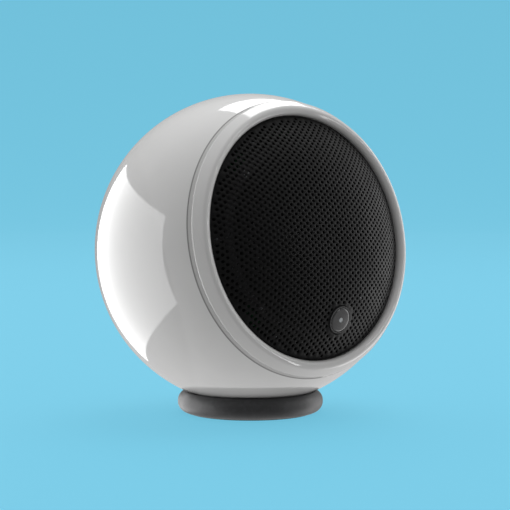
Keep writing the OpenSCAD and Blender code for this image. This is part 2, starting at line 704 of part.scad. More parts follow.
shell();
acoustic_lining();
shell_gasket();
front_baffle();
baffle_screws();
bezel();
bezel_screws();
grille_frame();
grille();
driver_basket();
driver_gasket();
driver_screws();
driver_top_plate();
driver_magnet();
driver_back_plate();
surround();
spider();
cone();
dust_cap();
coil_former();
voice_coil();
driver_terminals();
mic_boards();
button_housing();
button_board();
status_led();
button_dome();
button_cap();
light_pipe();
board_carrier();
main_board();
board_standoffs();
board_screws();
heatsink();
wireless_module();
capacitors();
inductors();
antenna_board();
io_board();
io_screws();
rear_gasket();
rear_panel();
rear_screws();
mount_insert();
dc_inlet();
dc_inlet_pin();
pairing_switch();
pairing_button();
mute_switch();
mute_slider();
speaker_leads();
front_cables();
internal_harness();
base_ring();
base_plate();
foot_pad();
glide_washer();
seat_cup();
seat_magnets();
seat_liner();
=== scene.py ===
import json
import math

import bmesh
import bpy
from mathutils import Matrix, Vector
from mathutils.geometry import delaunay_2d_cdt


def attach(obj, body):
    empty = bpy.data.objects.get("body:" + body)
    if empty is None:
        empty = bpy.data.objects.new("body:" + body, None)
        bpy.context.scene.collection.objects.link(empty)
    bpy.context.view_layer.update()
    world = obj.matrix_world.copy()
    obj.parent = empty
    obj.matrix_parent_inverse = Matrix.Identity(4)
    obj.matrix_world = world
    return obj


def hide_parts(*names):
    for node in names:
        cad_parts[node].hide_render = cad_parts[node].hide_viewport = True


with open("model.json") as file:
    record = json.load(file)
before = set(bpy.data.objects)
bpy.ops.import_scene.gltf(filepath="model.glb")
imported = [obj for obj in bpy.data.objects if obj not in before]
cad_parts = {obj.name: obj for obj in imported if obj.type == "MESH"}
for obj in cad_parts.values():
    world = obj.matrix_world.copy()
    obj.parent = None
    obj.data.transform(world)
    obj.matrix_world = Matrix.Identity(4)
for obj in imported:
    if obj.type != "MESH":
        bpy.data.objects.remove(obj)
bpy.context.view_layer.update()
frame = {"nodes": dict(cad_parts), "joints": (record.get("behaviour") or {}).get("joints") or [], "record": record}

MM = 0.001

# ---- sizes that the CAD source gives
joint = {j["name"]: j for j in frame["joints"]}
BALL_CENTRE = Vector(joint["tilt"]["pos_m"])
AIM_TILT = math.radians(9.5)
TO_WORLD = Matrix.Translation(BALL_CENTRE) @ Matrix.Rotation(math.pi / 2 - AIM_TILT, 4, "X")

MESH_R = 48.2            # outside of the grille's skirt
MESH_Z = 35.57           # plane of the dome's edge, ahead of the ball's centre
DOME_H = 13.4
DOME_POWER = 2.7
MESH_T = 0.8
BAFFLE_FRONT = 33.0
BUTTON = (5.1, -33.7)
COLLAR_R = 5.55          # the collar and its clearance
REAR_FACE = -60.6
INSERT_R = 4.5
INSERT_BORE = 2.55
INSERT_DEPTH = 9.0
BALL_R = 63.5
SHELL_T = 1.5
FRONT_CUT, REAR_CUT = 32.9, -58.4
SHELL_FLANGE = (41.5, 27.2, 29.0)      # inner radius, back and front planes
REAR_FLANGE = (18.9, -56.9)            # inner radius, front plane
BAND_R = 64.2
BEZEL_IN_R = 48.55
LIP_R = 2.15
BEZEL_EDGE = 0.45
SHELL_EDGE = 0.75        # chamfer of the shell's front edge, across its wall
REAR_EDGE = 0.35
SEAM_GAP = 0.3           # shadow gap that shows between the shell and the bezel


# ---- mesh helpers
def new_object(name, verts, faces, to_world=TO_WORLD, sharp=38.0):
    """A smooth-shaded mesh from millimetre points in the ball's frame, crisp at edges over sharp degrees."""
    mesh = bpy.data.meshes.new(name)
    mesh.from_pydata([to_world @ (Vector(v) * MM) for v in verts], [], faces)
    mesh.validate()
    bm = bmesh.new()
    bm.from_mesh(mesh)
    bmesh.ops.recalc_face_normals(bm, faces=bm.faces[:])
    for f in bm.faces:
        f.smooth = True
    for e in bm.edges:
        e.smooth = len(e.link_faces) == 2 and e.calc_face_angle(0.0) < math.radians(sharp)
    bm.to_mesh(mesh)
    bm.free()
    obj = bpy.data.objects.new(name, mesh)
    bpy.context.scene.collection.objects.link(obj)
    return obj


def circle(cx, cy, r, n, turn=0.0):
    return [(cx + r * math.cos(2 * math.pi * i / n + turn), cy + r * math.sin(2 * math.pi * i / n + turn))
            for i in range(n)]


# ---- the perforated grille
HOLE_W, HOLE_H = 3.08, 2.47      # the lattice's cell; every second row is moved half a cell
HOLE_R = 0.575
HOLE_SIDES = 12
HOLE_EASE = 0.09                 # rounded edge of each hole under the paint
RIM_FILLET = 0.6
RIM_SIDES = 288
RIM_MARGIN = 0.45                # least web between a hole and the rim's fillet
COLLAR_MARGIN = 0.35             # least web between a hole and the button's collar
COLLAR_SIDES = 64


def dome_z(r):
    return MESH_Z + DOME_H * (1 - (r / MESH_R) ** DOME_POWER)


def dome_slope(r):
    return -DOME_H * DOME_POWER / MESH_R * (r / MESH_R) ** (DOME_POWER - 1)


def on_dome(x, y, depth=0.0):
    """The point of the dome over plan point x, y, moved depth inwards along the sheet's normal."""
    r = math.hypot(x, y)
    s = dome_slope(r)
    out = Vector((-s * x / r, -s * y / r, 1)) if r > 1e-9 else Vector((0, 0, 1))
    return Vector((x, y, dome_z(r))) - out.normalized() * depth


def lattice(plan_r):
    """Plan centres of the holes, clear of the rim and of the button's collar."""
    holes = []
    rows = int(2 * MESH_R / HOLE_H) + 2
    columns = int(MESH_R / HOLE_W) + 2
    for row in range(-rows, rows + 1):
        y = row * HOLE_H / 2
        shift = HOLE_W / 2 if row % 2 else 0.0
        for k in range(-columns, columns + 1):
            x = k * HOLE_W + shift
            if math.hypot(x, y) > plan_r - HOLE_R - RIM_MARGIN:
                continue
            if math.hypot(x - BUTTON[0], y - BUTTON[1]) < COLLAR_R + HOLE_R + COLLAR_MARGIN:
                continue
            holes.append((x, y))
    return holes


def make_grille():
    fillet_x = MESH_R - RIM_FILLET
    lean = math.atan(-dome_slope(MESH_R))
    plan_r = fillet_x + RIM_FILLET * math.sin(lean)
    fillet_z = dome_z(plan_r) - RIM_FILLET * math.cos(lean)
    rim = circle(0, 0, plan_r, RIM_SIDES)
    collar = circle(BUTTON[0], BUTTON[1], COLLAR_R, COLLAR_SIDES)
    holes = lattice(plan_r)

    # The flat sheet between the loops, as triangles
    loops = [rim, collar] + [circle(x, y, HOLE_R + HOLE_EASE, HOLE_SIDES, math.pi / 12) for x, y in holes]
    points, owner, edges = [], [], []
    for k, loop in enumerate(loops):
        first = len(points)
        points += loop
        owner += [k] * len(loop)
        edges += [(first + i, first + (i + 1) % len(loop)) for i in range(len(loop))]
    made = delaunay_2d_cdt([Vector(p) for p in points], edges, [], 0, 1e-6)
    back = {i: source[0] for i, source in enumerate(made[3]) if source}
    plan = []
    for tri in made[2]:
        t = [back[i] for i in tri]
        inside = {owner[i] for i in t}
        if len(inside) == 1 and inside.pop() > 0:
            continue
        plan.append(t)

    # Front and back of the sheet, then the walls of the collar's opening and of each hole
    n = len(points)
    verts = [on_dome(x, y) for x, y in points] + [on_dome(x, y, MESH_T) for x, y in points]
    faces = list(plan) + [[n + i for i in reversed(t)] for t in plan]
    start = len(rim)
    for k, loop in enumerate(loops[1:]):
        size = len(loop)
        ids = [start + i for i in range(size)]
        if k == 0:
            walls = [ids, [n + i for i in ids]]
        else:
            x, y = holes[k - 1]
            lip = len(verts)
            for i in range(size):
                px, py = points[start + i]
                f = HOLE_R / (HOLE_R + HOLE_EASE)
                verts.append(on_dome(x + (px - x) * f, y + (py - y) * f, HOLE_EASE))
            walls = [ids, [lip + i for i in range(size)], [n + i for i in ids]]
        for upper, lower in zip(walls, walls[1:]):
            for i in range(size):
                j = (i + 1) % size
                faces.append([upper[i], upper[j], lower[j], lower[i]])
        start += size

    # The skirt round the edge: its fillet, its outside, its foot on the baffle and its inside
    rings = [list(range(RIM_SIDES))]
    profile = [(fillet_x + RIM_FILLET * math.sin(a), fillet_z + RIM_FILLET * math.cos(a))
               for a in [lean + (math.pi / 2 - lean) * s / 4 for s in range(1, 5)]]
    profile += [(MESH_R, BAFFLE_FRONT + 0.1), (MESH_R - 0.1, BAFFLE_FRONT),
                (MESH_R - MESH_T, BAFFLE_FRONT), (MESH_R - MESH_T, fillet_z - 0.3)]
    for r, z in profile:
        rings.append([len(verts) + i for i in range(RIM_SIDES)])
        verts += [Vector((x, y, z)) for x, y in circle(0, 0, r, RIM_SIDES)]
    rings.append([n + i for i in range(RIM_SIDES)])
    for upper, lower in zip(rings, rings[1:]):
        for i in range(RIM_SIDES):
            j = (i + 1) % RIM_SIDES
            faces.append([upper[j], upper[i], lower[i], lower[j]])
    return new_object("grille_perforated", verts, faces, sharp=52), len(holes)


grille, hole_count = make_grille()
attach(grille, "ball")
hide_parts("grille")


# ---- the ball's shell and its bezel, turned finely
def arc(cx, cz, r, a0, a1, n):
    return [(cx + r * math.cos(a0 + (a1 - a0) * i / n), cz + r * math.sin(a0 + (a1 - a0) * i / n))
            for i in range(n + 1)]


def sphere_r(radius, z):
    return math.sqrt(radius * radius - z * z)


def turned(name, profile, sides, sharp=38.0):
    """A closed profile of (radius, z) points turned once round the listening axis."""
    verts, faces = [], []
    n = len(profile)
    for r, z in profile:
        verts += [(x, y, z) for x, y in circle(0, 0, r, sides)]
    for k in range(n):
        a, b = k * sides, (k + 1) % n * sides
        for i in range(sides):
            j = (i + 1) % sides
            faces.append((a + i, a + j, b + j, b + i))
    return new_object(name, verts, faces, sharp=sharp)


# The 45 degree chamfer is the line on which radius + z keeps this sum; it leaves the sphere at CHAMFER_TURN.
CHAMFER_SUM = sphere_r(BALL_R, FRONT_CUT) - SHELL_EDGE + FRONT_CUT
CHAMFER_TURN = math.asin(CHAMFER_SUM / (BALL_R * math.sqrt(2))) - math.pi / 4


def make_shell():
    inner = BALL_R - SHELL_T
    edge = REAR_EDGE
    front = BAFFLE_FRONT - SEAM_GAP
    rear_turn = math.asin((REAR_CUT + edge) / (BALL_R - edge))
    rear_x = (BALL_R - edge) * math.cos(rear_turn)
    profile = arc(rear_x, REAR_CUT + edge, edge, -math.pi / 2, rear_turn, 4)
    profile += arc(0, 0, BALL_R, rear_turn, CHAMFER_TURN, 110)[1:]
    profile += [(CHAMFER_SUM - front, front)]
    flange_in, flange_back, flange_front = SHELL_FLANGE
    profile += [(sphere_r(inner, front), front), (sphere_r(inner, flange_front), flange_front),
                (flange_in, flange_front), (flange_in, flange_back)]
    start = math.asin(flange_back / inner)
    stop = math.asin(REAR_FLANGE[1] / inner)
    profile += arc(0, 0, inner, start, stop, 30)
    profile += [(REAR_FLANGE[0], REAR_FLANGE[1]), (REAR_FLANGE[0], REAR_CUT)]
    return turned("shell_lacquered", profile, 224, sharp=10)


def make_bezel():
    lip_x = BEZEL_IN_R + LIP_R
    lip_z = math.sqrt((BAND_R - LIP_R) ** 2 - lip_x ** 2)
    edge = BEZEL_EDGE
    edge_turn = math.asin((BAFFLE_FRONT + edge) / (BAND_R - edge))
    edge_x = (BAND_R - edge) * math.cos(edge_turn)
    lip_turn = math.atan2(lip_z, lip_x)
    profile = [(BEZEL_IN_R, BAFFLE_FRONT)]
    profile += arc(edge_x, BAFFLE_FRONT + edge, edge, -math.pi / 2, edge_turn, 8)
    profile += arc(0, 0, BAND_R, edge_turn, lip_turn, 14)[1:-1]
    profile += arc(lip_x, lip_z, LIP_R, lip_turn, math.pi, 26)
    return turned("bezel_moulded", profile, 256, sharp=60)


shell = make_shell()
bezel = make_bezel()
for piece, node, slot in ((shell, "shell", "white_paint"), (bezel, "bezel", "white_gloss")):
    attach(piece, "ball")
    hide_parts(node)


# ---- the threaded insert at the back
def make_insert():
    """The brass insert with its 1/4 in-20 thread cut in the bore, and a lead-in chamfer."""
    pitch, depth, sides, steps = 1.27, 0.62, 60, 88
    chamfer, lead_in, run_out = 0.15, 0.55, 1.2
    flat, flank = 1.25, 3.6          # width of the groove's root, and how steep its sides are
    inner_end = REAR_FACE + INSERT_DEPTH
    verts, faces, rings = [], [], []

    def ring(fn):
        first = len(verts)
        for i in range(sides):
            a = 2 * math.pi * i / sides
            r, z = fn(a)
            verts.append(Vector((r * math.cos(a), r * math.sin(a), z)))
        rings.append(range(first, first + sides))

    def thread(a, z):
        turn = ((z - REAR_FACE) / pitch - a / (2 * math.pi)) % 1.0
        groove = max(0.0, min(1.0, flat - abs(turn - 0.5) * flank))
        fade = max(0.0, min(1.0, (inner_end - z) / run_out))
        return INSERT_BORE + depth * groove * fade

    ring(lambda a: (INSERT_BORE, inner_end))
    ring(lambda a: (INSERT_R, inner_end))
    ring(lambda a: (INSERT_R, REAR_FACE + chamfer))
    ring(lambda a: (INSERT_R - chamfer, REAR_FACE))
    ring(lambda a: (INSERT_BORE + depth + 0.1, REAR_FACE))
    for k in range(steps):
        z = REAR_FACE + lead_in + (INSERT_DEPTH - lead_in) * k / steps
        ring(lambda a, z=z: (thread(a, z), z))
    rings.append(rings[0])
    for upper, lower in zip(rings, rings[1:]):
        for i in range(sides):
            j = (i + 1) % sides
            faces.append([upper[i], upper[j], lower[j], lower[i]])
    return new_object("mount_insert_threaded", verts, faces, sharp=50)


insert = make_insert()
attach(insert, "ball")
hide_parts("mount_insert")


# ---- materials
class Nodes:
    """A node material with one Principled shader, built from a few repeated pieces."""

    def __init__(self, name, metallic=0.0, ior=1.5, coat=0.0, coat_rough=0.05, sheen=0.0, transmission=0.0):
        self.mat = bpy.data.materials.new(name)
        self.mat.use_nodes = True
        self.tree = self.mat.node_tree
        self.tree.nodes.clear()
        self.out = self.tree.nodes.new("ShaderNodeOutputMaterial")
        self.bsdf = self.tree.nodes.new("ShaderNodeBsdfPrincipled")
        self.link(self.bsdf.outputs["BSDF"], self.out.inputs["Surface"])
        self.bsdf.inputs["Metallic"].default_value = metallic
        self.bsdf.inputs["IOR"].default_value = ior
        self.bsdf.inputs["Coat Weight"].default_value = coat
        self.bsdf.inputs["Coat Roughness"].default_value = coat_rough
        self.bsdf.inputs["Sheen Weight"].default_value = sheen
        self.bsdf.inputs["Transmission Weight"].default_value = transmission
        self.place = self.tree.nodes.new("ShaderNodeTexCoord").outputs["Object"]
        self.normal = None

    def link(self, a, b):
        self.tree.links.new(a, b)

    def moved(self, scale=(1, 1, 1), turn=(0, 0, 0)):
        """Object coordinates, scaled or turned."""
        m = self.tree.nodes.new("ShaderNodeMapping")
        m.inputs["Scale"].default_value = scale
        m.inputs["Rotation"].default_value = turn
        self.link(self.place, m.inputs["Vector"])
        return m.outputs["Vector"]

    def along_axis(self):
        """Distance ahead of the ball's centre along the listening axis, in metres."""
        ahead = self.tree.nodes.new("ShaderNodeVectorMath")
        ahead.operation = "SUBTRACT"
        ahead.inputs[1].default_value = BALL_CENTRE
        self.link(self.place, ahead.inputs[0])
        dot = self.tree.nodes.new("ShaderNodeVectorMath")
        dot.operation = "DOT_PRODUCT"
        dot.inputs[1].default_value = TO_WORLD.to_3x3() @ Vector((0, 0, 1))
        self.link(ahead.outputs["Vector"], dot.inputs[0])
        return dot.outputs["Value"]

    def noise(self, size_mm, detail=3.0, rough=0.5, at=None, distortion=0.0):
        n = self.tree.nodes.new("ShaderNodeTexNoise")
        n.inputs["Scale"].default_value = 1 / (size_mm * MM)
        n.inputs["Detail"].default_value = detail
        n.inputs["Roughness"].default_value = rough
        n.inputs["Distortion"].default_value = distortion
        self.link(at or self.place, n.inputs["Vector"])
        return n.outputs["Fac"]

    def cells(self, size_mm, feature="F1", at=None):
        v = self.tree.nodes.new("ShaderNodeTexVoronoi")
        v.feature = feature
        v.inputs["Scale"].default_value = 1 / (size_mm * MM)
        self.link(at or self.place, v.inputs["Vector"])
        return v.outputs["Distance"]

    def waves(self, size_mm, direction, at=None, distortion=0.0):
        w = self.tree.nodes.new("ShaderNodeTexWave")
        w.bands_direction = direction
        # One band repeats every 2 pi / 20 of the scaled coordinate
        w.inputs["Scale"].default_value = 2 * math.pi / 20 / (size_mm * MM)
        w.inputs["Distortion"].default_value = distortion
        self.link(at or self.place, w.inputs["Vector"])
        return w.outputs["Fac"]

    def span(self, value, low, high, from_low=0.3, from_high=0.7):
        m = self.tree.nodes.new("ShaderNodeMapRange")
        m.inputs["From Min"].default_value = from_low
        m.inputs["From Max"].default_value = from_high
        m.inputs["To Min"].default_value = low
        m.inputs["To Max"].default_value = high
        self.link(value, m.inputs["Value"])
        return m.outputs["Result"]

    def math(self, op, a, b):
        m = self.tree.nodes.new("ShaderNodeMath")
        m.operation = op
        for socket, x in zip(m.inputs, (a, b)):
            if isinstance(x, (int, float)):
                socket.default_value = x
            else:
                self.link(x, socket)
        return m.outputs[0]

    def ramp(self, value, *stops):
        r = self.tree.nodes.new("ShaderNodeValToRGB")
        r.color_ramp.elements[0].position, r.color_ramp.elements[0].color = stops[0][0], (*stops[0][1], 1)
        r.color_ramp.elements[1].position, r.color_ramp.elements[1].color = stops[-1][0], (*stops[-1][1], 1)
        for at, c in stops[1:-1]:
            e = r.color_ramp.elements.new(at)
            e.color = (*c, 1)
        self.link(value, r.inputs["Fac"])
        return r.outputs["Color"]

    def mix(self, fac, a, b):
        m = self.tree.nodes.new("ShaderNodeMix")
        m.data_type = "RGBA"
        self.link(fac, m.inputs[0])
        for socket, x in ((m.inputs[6], a), (m.inputs[7], b)):
            if isinstance(x, tuple):
                socket.default_value = (*x, 1)
            else:
                self.link(x, socket)
        return m.outputs[2]

    def colour(self, value):
        self.link(value, self.bsdf.inputs["Base Color"])

    def rough(self, value):
        self.link(value, self.bsdf.inputs["Roughness"])

    def bump(self, height, depth_mm):
        b = self.tree.nodes.new("ShaderNodeBump")
        b.inputs["Distance"].default_value = depth_mm * MM
        b.inputs["Strength"].default_value = 1.0
        self.link(height, b.inputs["Height"])
        if self.normal is not None:
            self.link(self.normal, b.inputs["Normal"])
        self.normal = b.outputs["Normal"]
        self.link(self.normal, self.bsdf.inputs["Normal"])
        if self.bsdf.inputs["Coat Weight"].default_value > 0:
            self.link(self.normal, self.bsdf.inputs["Coat Normal"])


def shade_of(c, k):
    return tuple(min(1.0, x * k) for x in c)


def lacquer(name, c, rough=(0.05, 0.09), peel=0.001, seam=False):
    """Glossy lacquer or polished moulding: faint orange peel and clouding, and painted shade in the seam's groove.
    """
    m = Nodes(name, ior=1.52, coat=0.6, coat_rough=0.04)
    cloud = m.noise(38, 4)
    fine = m.noise(0.9, 2)
    paint = m.ramp(cloud, (0.32, shade_of(c, 0.965)), (0.5, c), (0.68, shade_of(c, 1.02)))
    if seam:
        # painted shade: the lacquer is darkened in a band along the groove behind the bezel, where the bezel's
        # edge shades the shell
        groove = BALL_R * math.sin(CHAMFER_TURN) * MM
        across = m.span(m.along_axis(), 0, 1, groove - 0.1 * MM, groove + 0.9 * MM)
        no_shade, faint_shade, full_shade = (0, 0, 0), (0.2, 0.2, 0.2), (1, 1, 1)
        dust_and_painted_shade = m.ramp(across, (0.0, no_shade), (0.1, full_shade), (0.38, full_shade), (0.5, faint_shade), (1.0, faint_shade))
        paint = m.mix(dust_and_painted_shade, paint, shade_of(c, 0.42))
    m.colour(paint)
    m.rough(m.math("ADD", m.span(cloud, rough[0], rough[1]), m.span(fine, 0.0, 0.015)))
    m.bump(m.noise(2.4, 2, 0.4), peel)
    return m.mat


def powder(name, c, size=0.16, rough=(0.34, 0.5), depth=0.012, ior=1.48):
    """Satin powder coat or spark-eroded plastic: a fine grain with soft patches in its sheen."""
    m = Nodes(name, ior=ior)
    grain = m.noise(size, 3, 0.6)
    patch = m.noise(11, 4)
    m.colour(m.mix(m.span(patch, 0, 1), shade_of(c, 0.82), shade_of(c, 1.22)))
    m.rough(m.math("ADD", m.span(patch, rough[0], rough[1]), m.span(grain, -0.04, 0.05)))
    m.bump(grain, depth)
    return m.mat


def rubber(name, c, rough=(0.42, 0.58)):
    """Moulded elastomer: matt skin with a fine grain, dusty patches and tiny pits."""
    m = Nodes(name, ior=1.5)
    patch = m.noise(7, 5, 0.6)
    grain = m.noise(0.28, 3, 0.6)
    pits = m.cells(1.3)
    dust_and_painted_shade = m.span(m.math("MULTIPLY", patch, m.noise(1.8, 4)), 0, 1, 0.2, 0.42)
    m.colour(m.mix(dust_and_painted_shade, shade_of(c, 0.9), shade_of(c, 1.25)))
    m.rough(m.math("ADD", m.span(patch, rough[0], rough[1]), m.span(grain, -0.03, 0.04)))
    m.bump(grain, 0.01)
    m.bump(m.span(pits, 0, 1, 0.02, 0.12), 0.004)
    return m.mat


def metal(name, c, rough=(0.22, 0.38), lines=True):
    """Plated or brushed metal: fine drawn lines, clouded plating."""
    m = Nodes(name, metallic=1.0)
    cloud = m.noise(5, 4)
    streak = m.noise(0.35, 4, 0.6, at=m.moved((1, 1, 0.04))) if lines else m.noise(0.5, 4)
    m.colour(m.mix(m.span(cloud, 0, 1), shade_of(c, 0.88), shade_of(c, 1.05)))
    m.rough(m.math("ADD", m.span(cloud, rough[0], rough[1]), m.span(streak, -0.06, 0.06)))
    m.bump(streak, 0.006)
    return m.mat


def cloth(name, c, thread=0.55, depth=0.12, sheen=0.25):
    """Felt or woven cloth: crossing threads under loose fibres."""
    m = Nodes(name, sheen=sheen)
    across = m.waves(thread, "X", distortion=1.5)
    along = m.waves(thread, "Y", distortion=1.5)
    weave = m.math("MAXIMUM", across, along)
    fibre = m.noise(0.3, 5, 0.7, distortion=0.8)
    worn = m.math("ADD", m.math("MULTIPLY", weave, 0.4), m.math("MULTIPLY", fibre, 0.6))
    m.colour(m.mix(m.span(worn, 0, 1), shade_of(c, 0.62), shade_of(c, 1.3)))
    m.rough(m.span(fibre, 0.82, 0.97))
    m.bump(m.math("ADD", m.math("MULTIPLY", weave, 0.5), fibre), depth)
    return m.mat


def pulp(name, c):
    """Pressed paper pulp: short fibres, matt."""
    m = Nodes(name)
    fibre = m.noise(0.9, 6, 0.7, distortion=2.2)
    m.colour(m.mix(m.span(fibre, 0, 1), shade_of(c, 0.7), shade_of(c, 1.6)))
    m.rough(m.span(fibre, 0.62, 0.85))
    m.bump(fibre, 0.06)
    return m.mat


def board(name, mask, track):
    """Solder mask over copper tracks with a laminate's fine weave."""
    m = Nodes(name, ior=1.5, coat=0.3, coat_rough=0.2)
    tracks = m.cells(3.4, "DISTANCE_TO_EDGE")
    line = m.span(tracks, 1, 0, 0.02, 0.06)
    vias = m.span(m.cells(4.1), 1, 0, 0.08, 0.1)
    both = m.math("MAXIMUM", line, vias)
    m.colour(m.mix(both, mask, track))
    m.rough(m.span(m.noise(3, 3), 0.28, 0.42))
    m.bump(both, 0.03)
    m.bump(m.waves(0.5, "X"), 0.004)
    return m.mat


def clear_part(name, c):
    """Frosted clear plastic that carries the status light."""
    m = Nodes(name, ior=1.49, transmission=0.35)
    frost = m.noise(0.2, 3)
    m.colour(m.mix(m.span(frost, 0, 1), shade_of(c, 0.9), shade_of(c, 1.05)))
    m.rough(m.span(frost, 0.22, 0.34))
    m.bump(frost, 0.004)
    return m.mat


def thread_wound(name, c, pitch):
    """Enamelled wire wound round the voice coil, turn by turn."""
    m = Nodes(name, metallic=1.0)
    turn = m.waves(pitch, "Z", at=m.moved(turn=(-(math.pi / 2 - AIM_TILT), 0, 0)))
    m.colour(m.mix(turn, shade_of(c, 0.55), shade_of(c, 1.1)))
    m.rough(m.span(m.noise(2, 3), 0.2, 0.34))
    m.bump(turn, 0.08)
    return m.mat


def button_face(name, c):
    """Polished dark cap with faint clouding and a fine grain."""
    m = Nodes(name, ior=1.52, coat=0.5, coat_rough=0.06)
    cloud = m.noise(3.5, 3)
    fine = m.noise(0.35, 4, 0.6)
    m.colour(m.mix(m.span(cloud, 0, 1), shade_of(c, 0.9), shade_of(c, 1.12)))
    m.rough(m.math("ADD", m.span(cloud, 0.14, 0.2), m.span(fine, -0.02, 0.03)))
    m.bump(fine, 0.0012)
    return m.mat


WHITE = (0.79, 0.79, 0.785)
made = {
    "white_paint": lacquer("white_lacquer", WHITE, seam=True),
    "white_gloss": lacquer("white_gloss_moulding", shade_of(WHITE, 0.985), (0.06, 0.1), 0.0008),
    "grille_paint": powder("black_powder_coat", (0.006, 0.006, 0.0063), 0.18, (0.4, 0.52), 0.010, 1.24),
    "black_plastic": powder("black_moulded_plastic", (0.022, 0.022, 0.023), 0.22, (0.42, 0.56), 0.016),
    "button_gloss": button_face("dark_gloss_cap", (0.024, 0.024, 0.026)),
    "clear_plastic": clear_part("frosted_clear", (0.78, 0.82, 0.84)),
    "rear_keys": powder("grey_key_plastic", (0.09, 0.09, 0.095), 0.2, (0.4, 0.52), 0.012),
    "inlet_plastic": powder("black_inlet_plastic", (0.016, 0.016, 0.016), 0.2, (0.3, 0.42), 0.01),
    "foam": cloth("felt_wadding", (0.52, 0.5, 0.45), 1.4, 0.5, 0.4),
    "felt": cloth("dark_felt", (0.035, 0.035, 0.037), 0.6, 0.1, 0.3),
    "rubber_black": rubber("black_rubber", (0.018, 0.018, 0.018)),
    "rubber_grey": rubber("dark_grey_rubber", (0.046, 0.047, 0.05), (0.36, 0.5)),
    "silicone": rubber("grey_silicone", (0.16, 0.16, 0.165), (0.4, 0.5)),
    "cast_basket": powder("painted_casting", (0.15, 0.15, 0.16), 0.5, (0.45, 0.6), 0.05),
    "zinc_steel": metal("zinc_plated_steel", (0.62, 0.63, 0.66)),
    "ferrite": powder("ferrite_block", (0.05, 0.05, 0.055), 0.35, (0.5, 0.66), 0.04),
    "nickel_magnet": metal("nickel_plating", (0.66, 0.64, 0.6), (0.1, 0.18), lines=False),
    "cone_pulp": pulp("black_pulp", (0.022, 0.022, 0.024)),
    "cloth_tan": cloth("treated_cloth", (0.42, 0.26, 0.11), 0.8, 0.14, 0.1),
    "former_kapton": lacquer("amber_film", (0.45, 0.2, 0.03), (0.18, 0.28)),
    "copper": thread_wound("enamelled_copper", (0.72, 0.3, 0.14), 0.3),
    "terminal_board": powder("brown_laminate", (0.18, 0.08, 0.035), 0.5, (0.4, 0.55), 0.02),
    "circuit_board": board("green_solder_mask", (0.008, 0.075, 0.03), (0.03, 0.16, 0.06)),
    "tin_can": metal("tinned_can", (0.6, 0.61, 0.62), (0.24, 0.36)),
    "aluminium_fins": metal("extruded_aluminium", (0.7, 0.71, 0.73), (0.3, 0.42)),
    "capacitor_sleeve": lacquer("capacitor_sleeve", (0.02, 0.02, 0.06), (0.2, 0.3)),
    "inductor_ferrite": powder("moulded_ferrite", (0.06, 0.06, 0.06), 0.3, (0.5, 0.6), 0.02),
    "brass_plain": metal("plain_brass", (0.7, 0.5, 0.22), (0.18, 0.3), lines=False),
    "ptfe": lacquer("white_ptfe", (0.7, 0.7, 0.68), (0.3, 0.42), 0.004),
    "cable_black": rubber("black_cable_jacket", (0.02, 0.02, 0.02), (0.4, 0.5)),
    "lead_insulation": lacquer("lead_insulation", (0.35, 0.03, 0.03), (0.25, 0.35), 0.004),
}
for part in frame["record"]["subparts"]:
    cad_piece = frame["nodes"][part["node"]]
    cad_piece.data.materials.clear()
    cad_piece.data.materials.append(made[part["material_slot"]])
for piece, slot in ((grille, "grille_paint"), (insert, "brass_plain"), (shell, "white_paint"),
                    (bezel, "white_gloss")):
    piece.data.materials.append(made[slot])

# ---- camera, at the photograph's angle
AZIMUTH, ELEVATION = math.radians(-39.3), math.radians(2.3)
DISTANCE = 0.635
LENS = 109.3
SHIFT = (0.0091, -0.0112)        # the ball stands a little left of and above the middle of the view
back = Vector((math.sin(AZIMUTH) * math.cos(ELEVATION), -math.cos(AZIMUTH) * math.cos(ELEVATION),
               math.sin(ELEVATION)))
right = Vector((math.cos(AZIMUTH), math.sin(AZIMUTH), 0))
up = back.cross(right)
camera = bpy.data.objects.new("camera", bpy.data.cameras.new("camera"))
camera.data.lens = LENS
camera.data.sensor_width = 36
camera.data.shift_x, camera.data.shift_y = SHIFT
camera.data.dof.use_dof = False
camera.data.clip_start = 0.01
camera.location = BALL_CENTRE + back * DISTANCE
camera.rotation_mode = "QUATERNION"
camera.rotation_quaternion = (-back).to_track_quat("-Z", "Y")
bpy.context.scene.collection.objects.link(camera)
bpy.context.scene.camera = camera


def from_camera(x, y, z):
    """A point given from the ball's centre: x to the camera's right, y up, z towards the camera."""
    return BALL_CENTRE + right * x + up * y + back * z


# ---- soft studio light
def glow(name, strength, edge):
    """White light that grows from edge x strength where the mesh's shade is 0 to strength where it is 1."""
    mat = bpy.data.materials.new(name)
    mat.use_nodes = True
    nodes, links = mat.node_tree.nodes, mat.node_tree.links
    nodes.clear()
    out = nodes.new("ShaderNodeOutputMaterial")
    emit = nodes.new("ShaderNodeEmission")
    links.new(emit.outputs["Emission"], out.inputs["Surface"])
    grade = nodes.new("ShaderNodeAttribute")
    grade.attribute_name = "shade"
    span = nodes.new("ShaderNodeMapRange")
    span.inputs["To Min"].default_value = strength * edge
    span.inputs["To Max"].default_value = strength
    links.new(grade.outputs["Fac"], span.inputs["Value"])
    links.new(span.outputs["Result"], emit.inputs["Strength"])
    return mat


def softbox(name, corners, strength, edge=1.0):
    """A lit panel between four corners, seen in reflections only. Its first side glows edge x strength."""
    cells = 8
    verts, faces, shade = [], [], []
    a, b, c, d = [Vector(p) for p in corners]
    for i in range(cells + 1):
        for j in range(cells + 1):
            s, t = i / cells, j / cells
            verts.append((a * (1 - t) + b * t) * (1 - s) + (d * (1 - t) + c * t) * s)
            shade.append(s)
    for i in range(cells):
        for j in range(cells):
            k = i * (cells + 1) + j
            faces.append((k, k + 1, k + cells + 2, k + cells + 1))
    mesh = bpy.data.meshes.new(name)
    mesh.from_pydata(verts, [], faces)
    layer = mesh.attributes.new("shade", "FLOAT", "POINT")
    layer.data.foreach_set("value", shade)
    mesh.materials.append(glow(name, strength, edge))
    obj = bpy.data.objects.new(name, mesh)
    bpy.context.scene.collection.objects.link(obj)
    obj.visible_camera = False
    obj.visible_diffuse = False
    obj.visible_shadow = False
    return obj


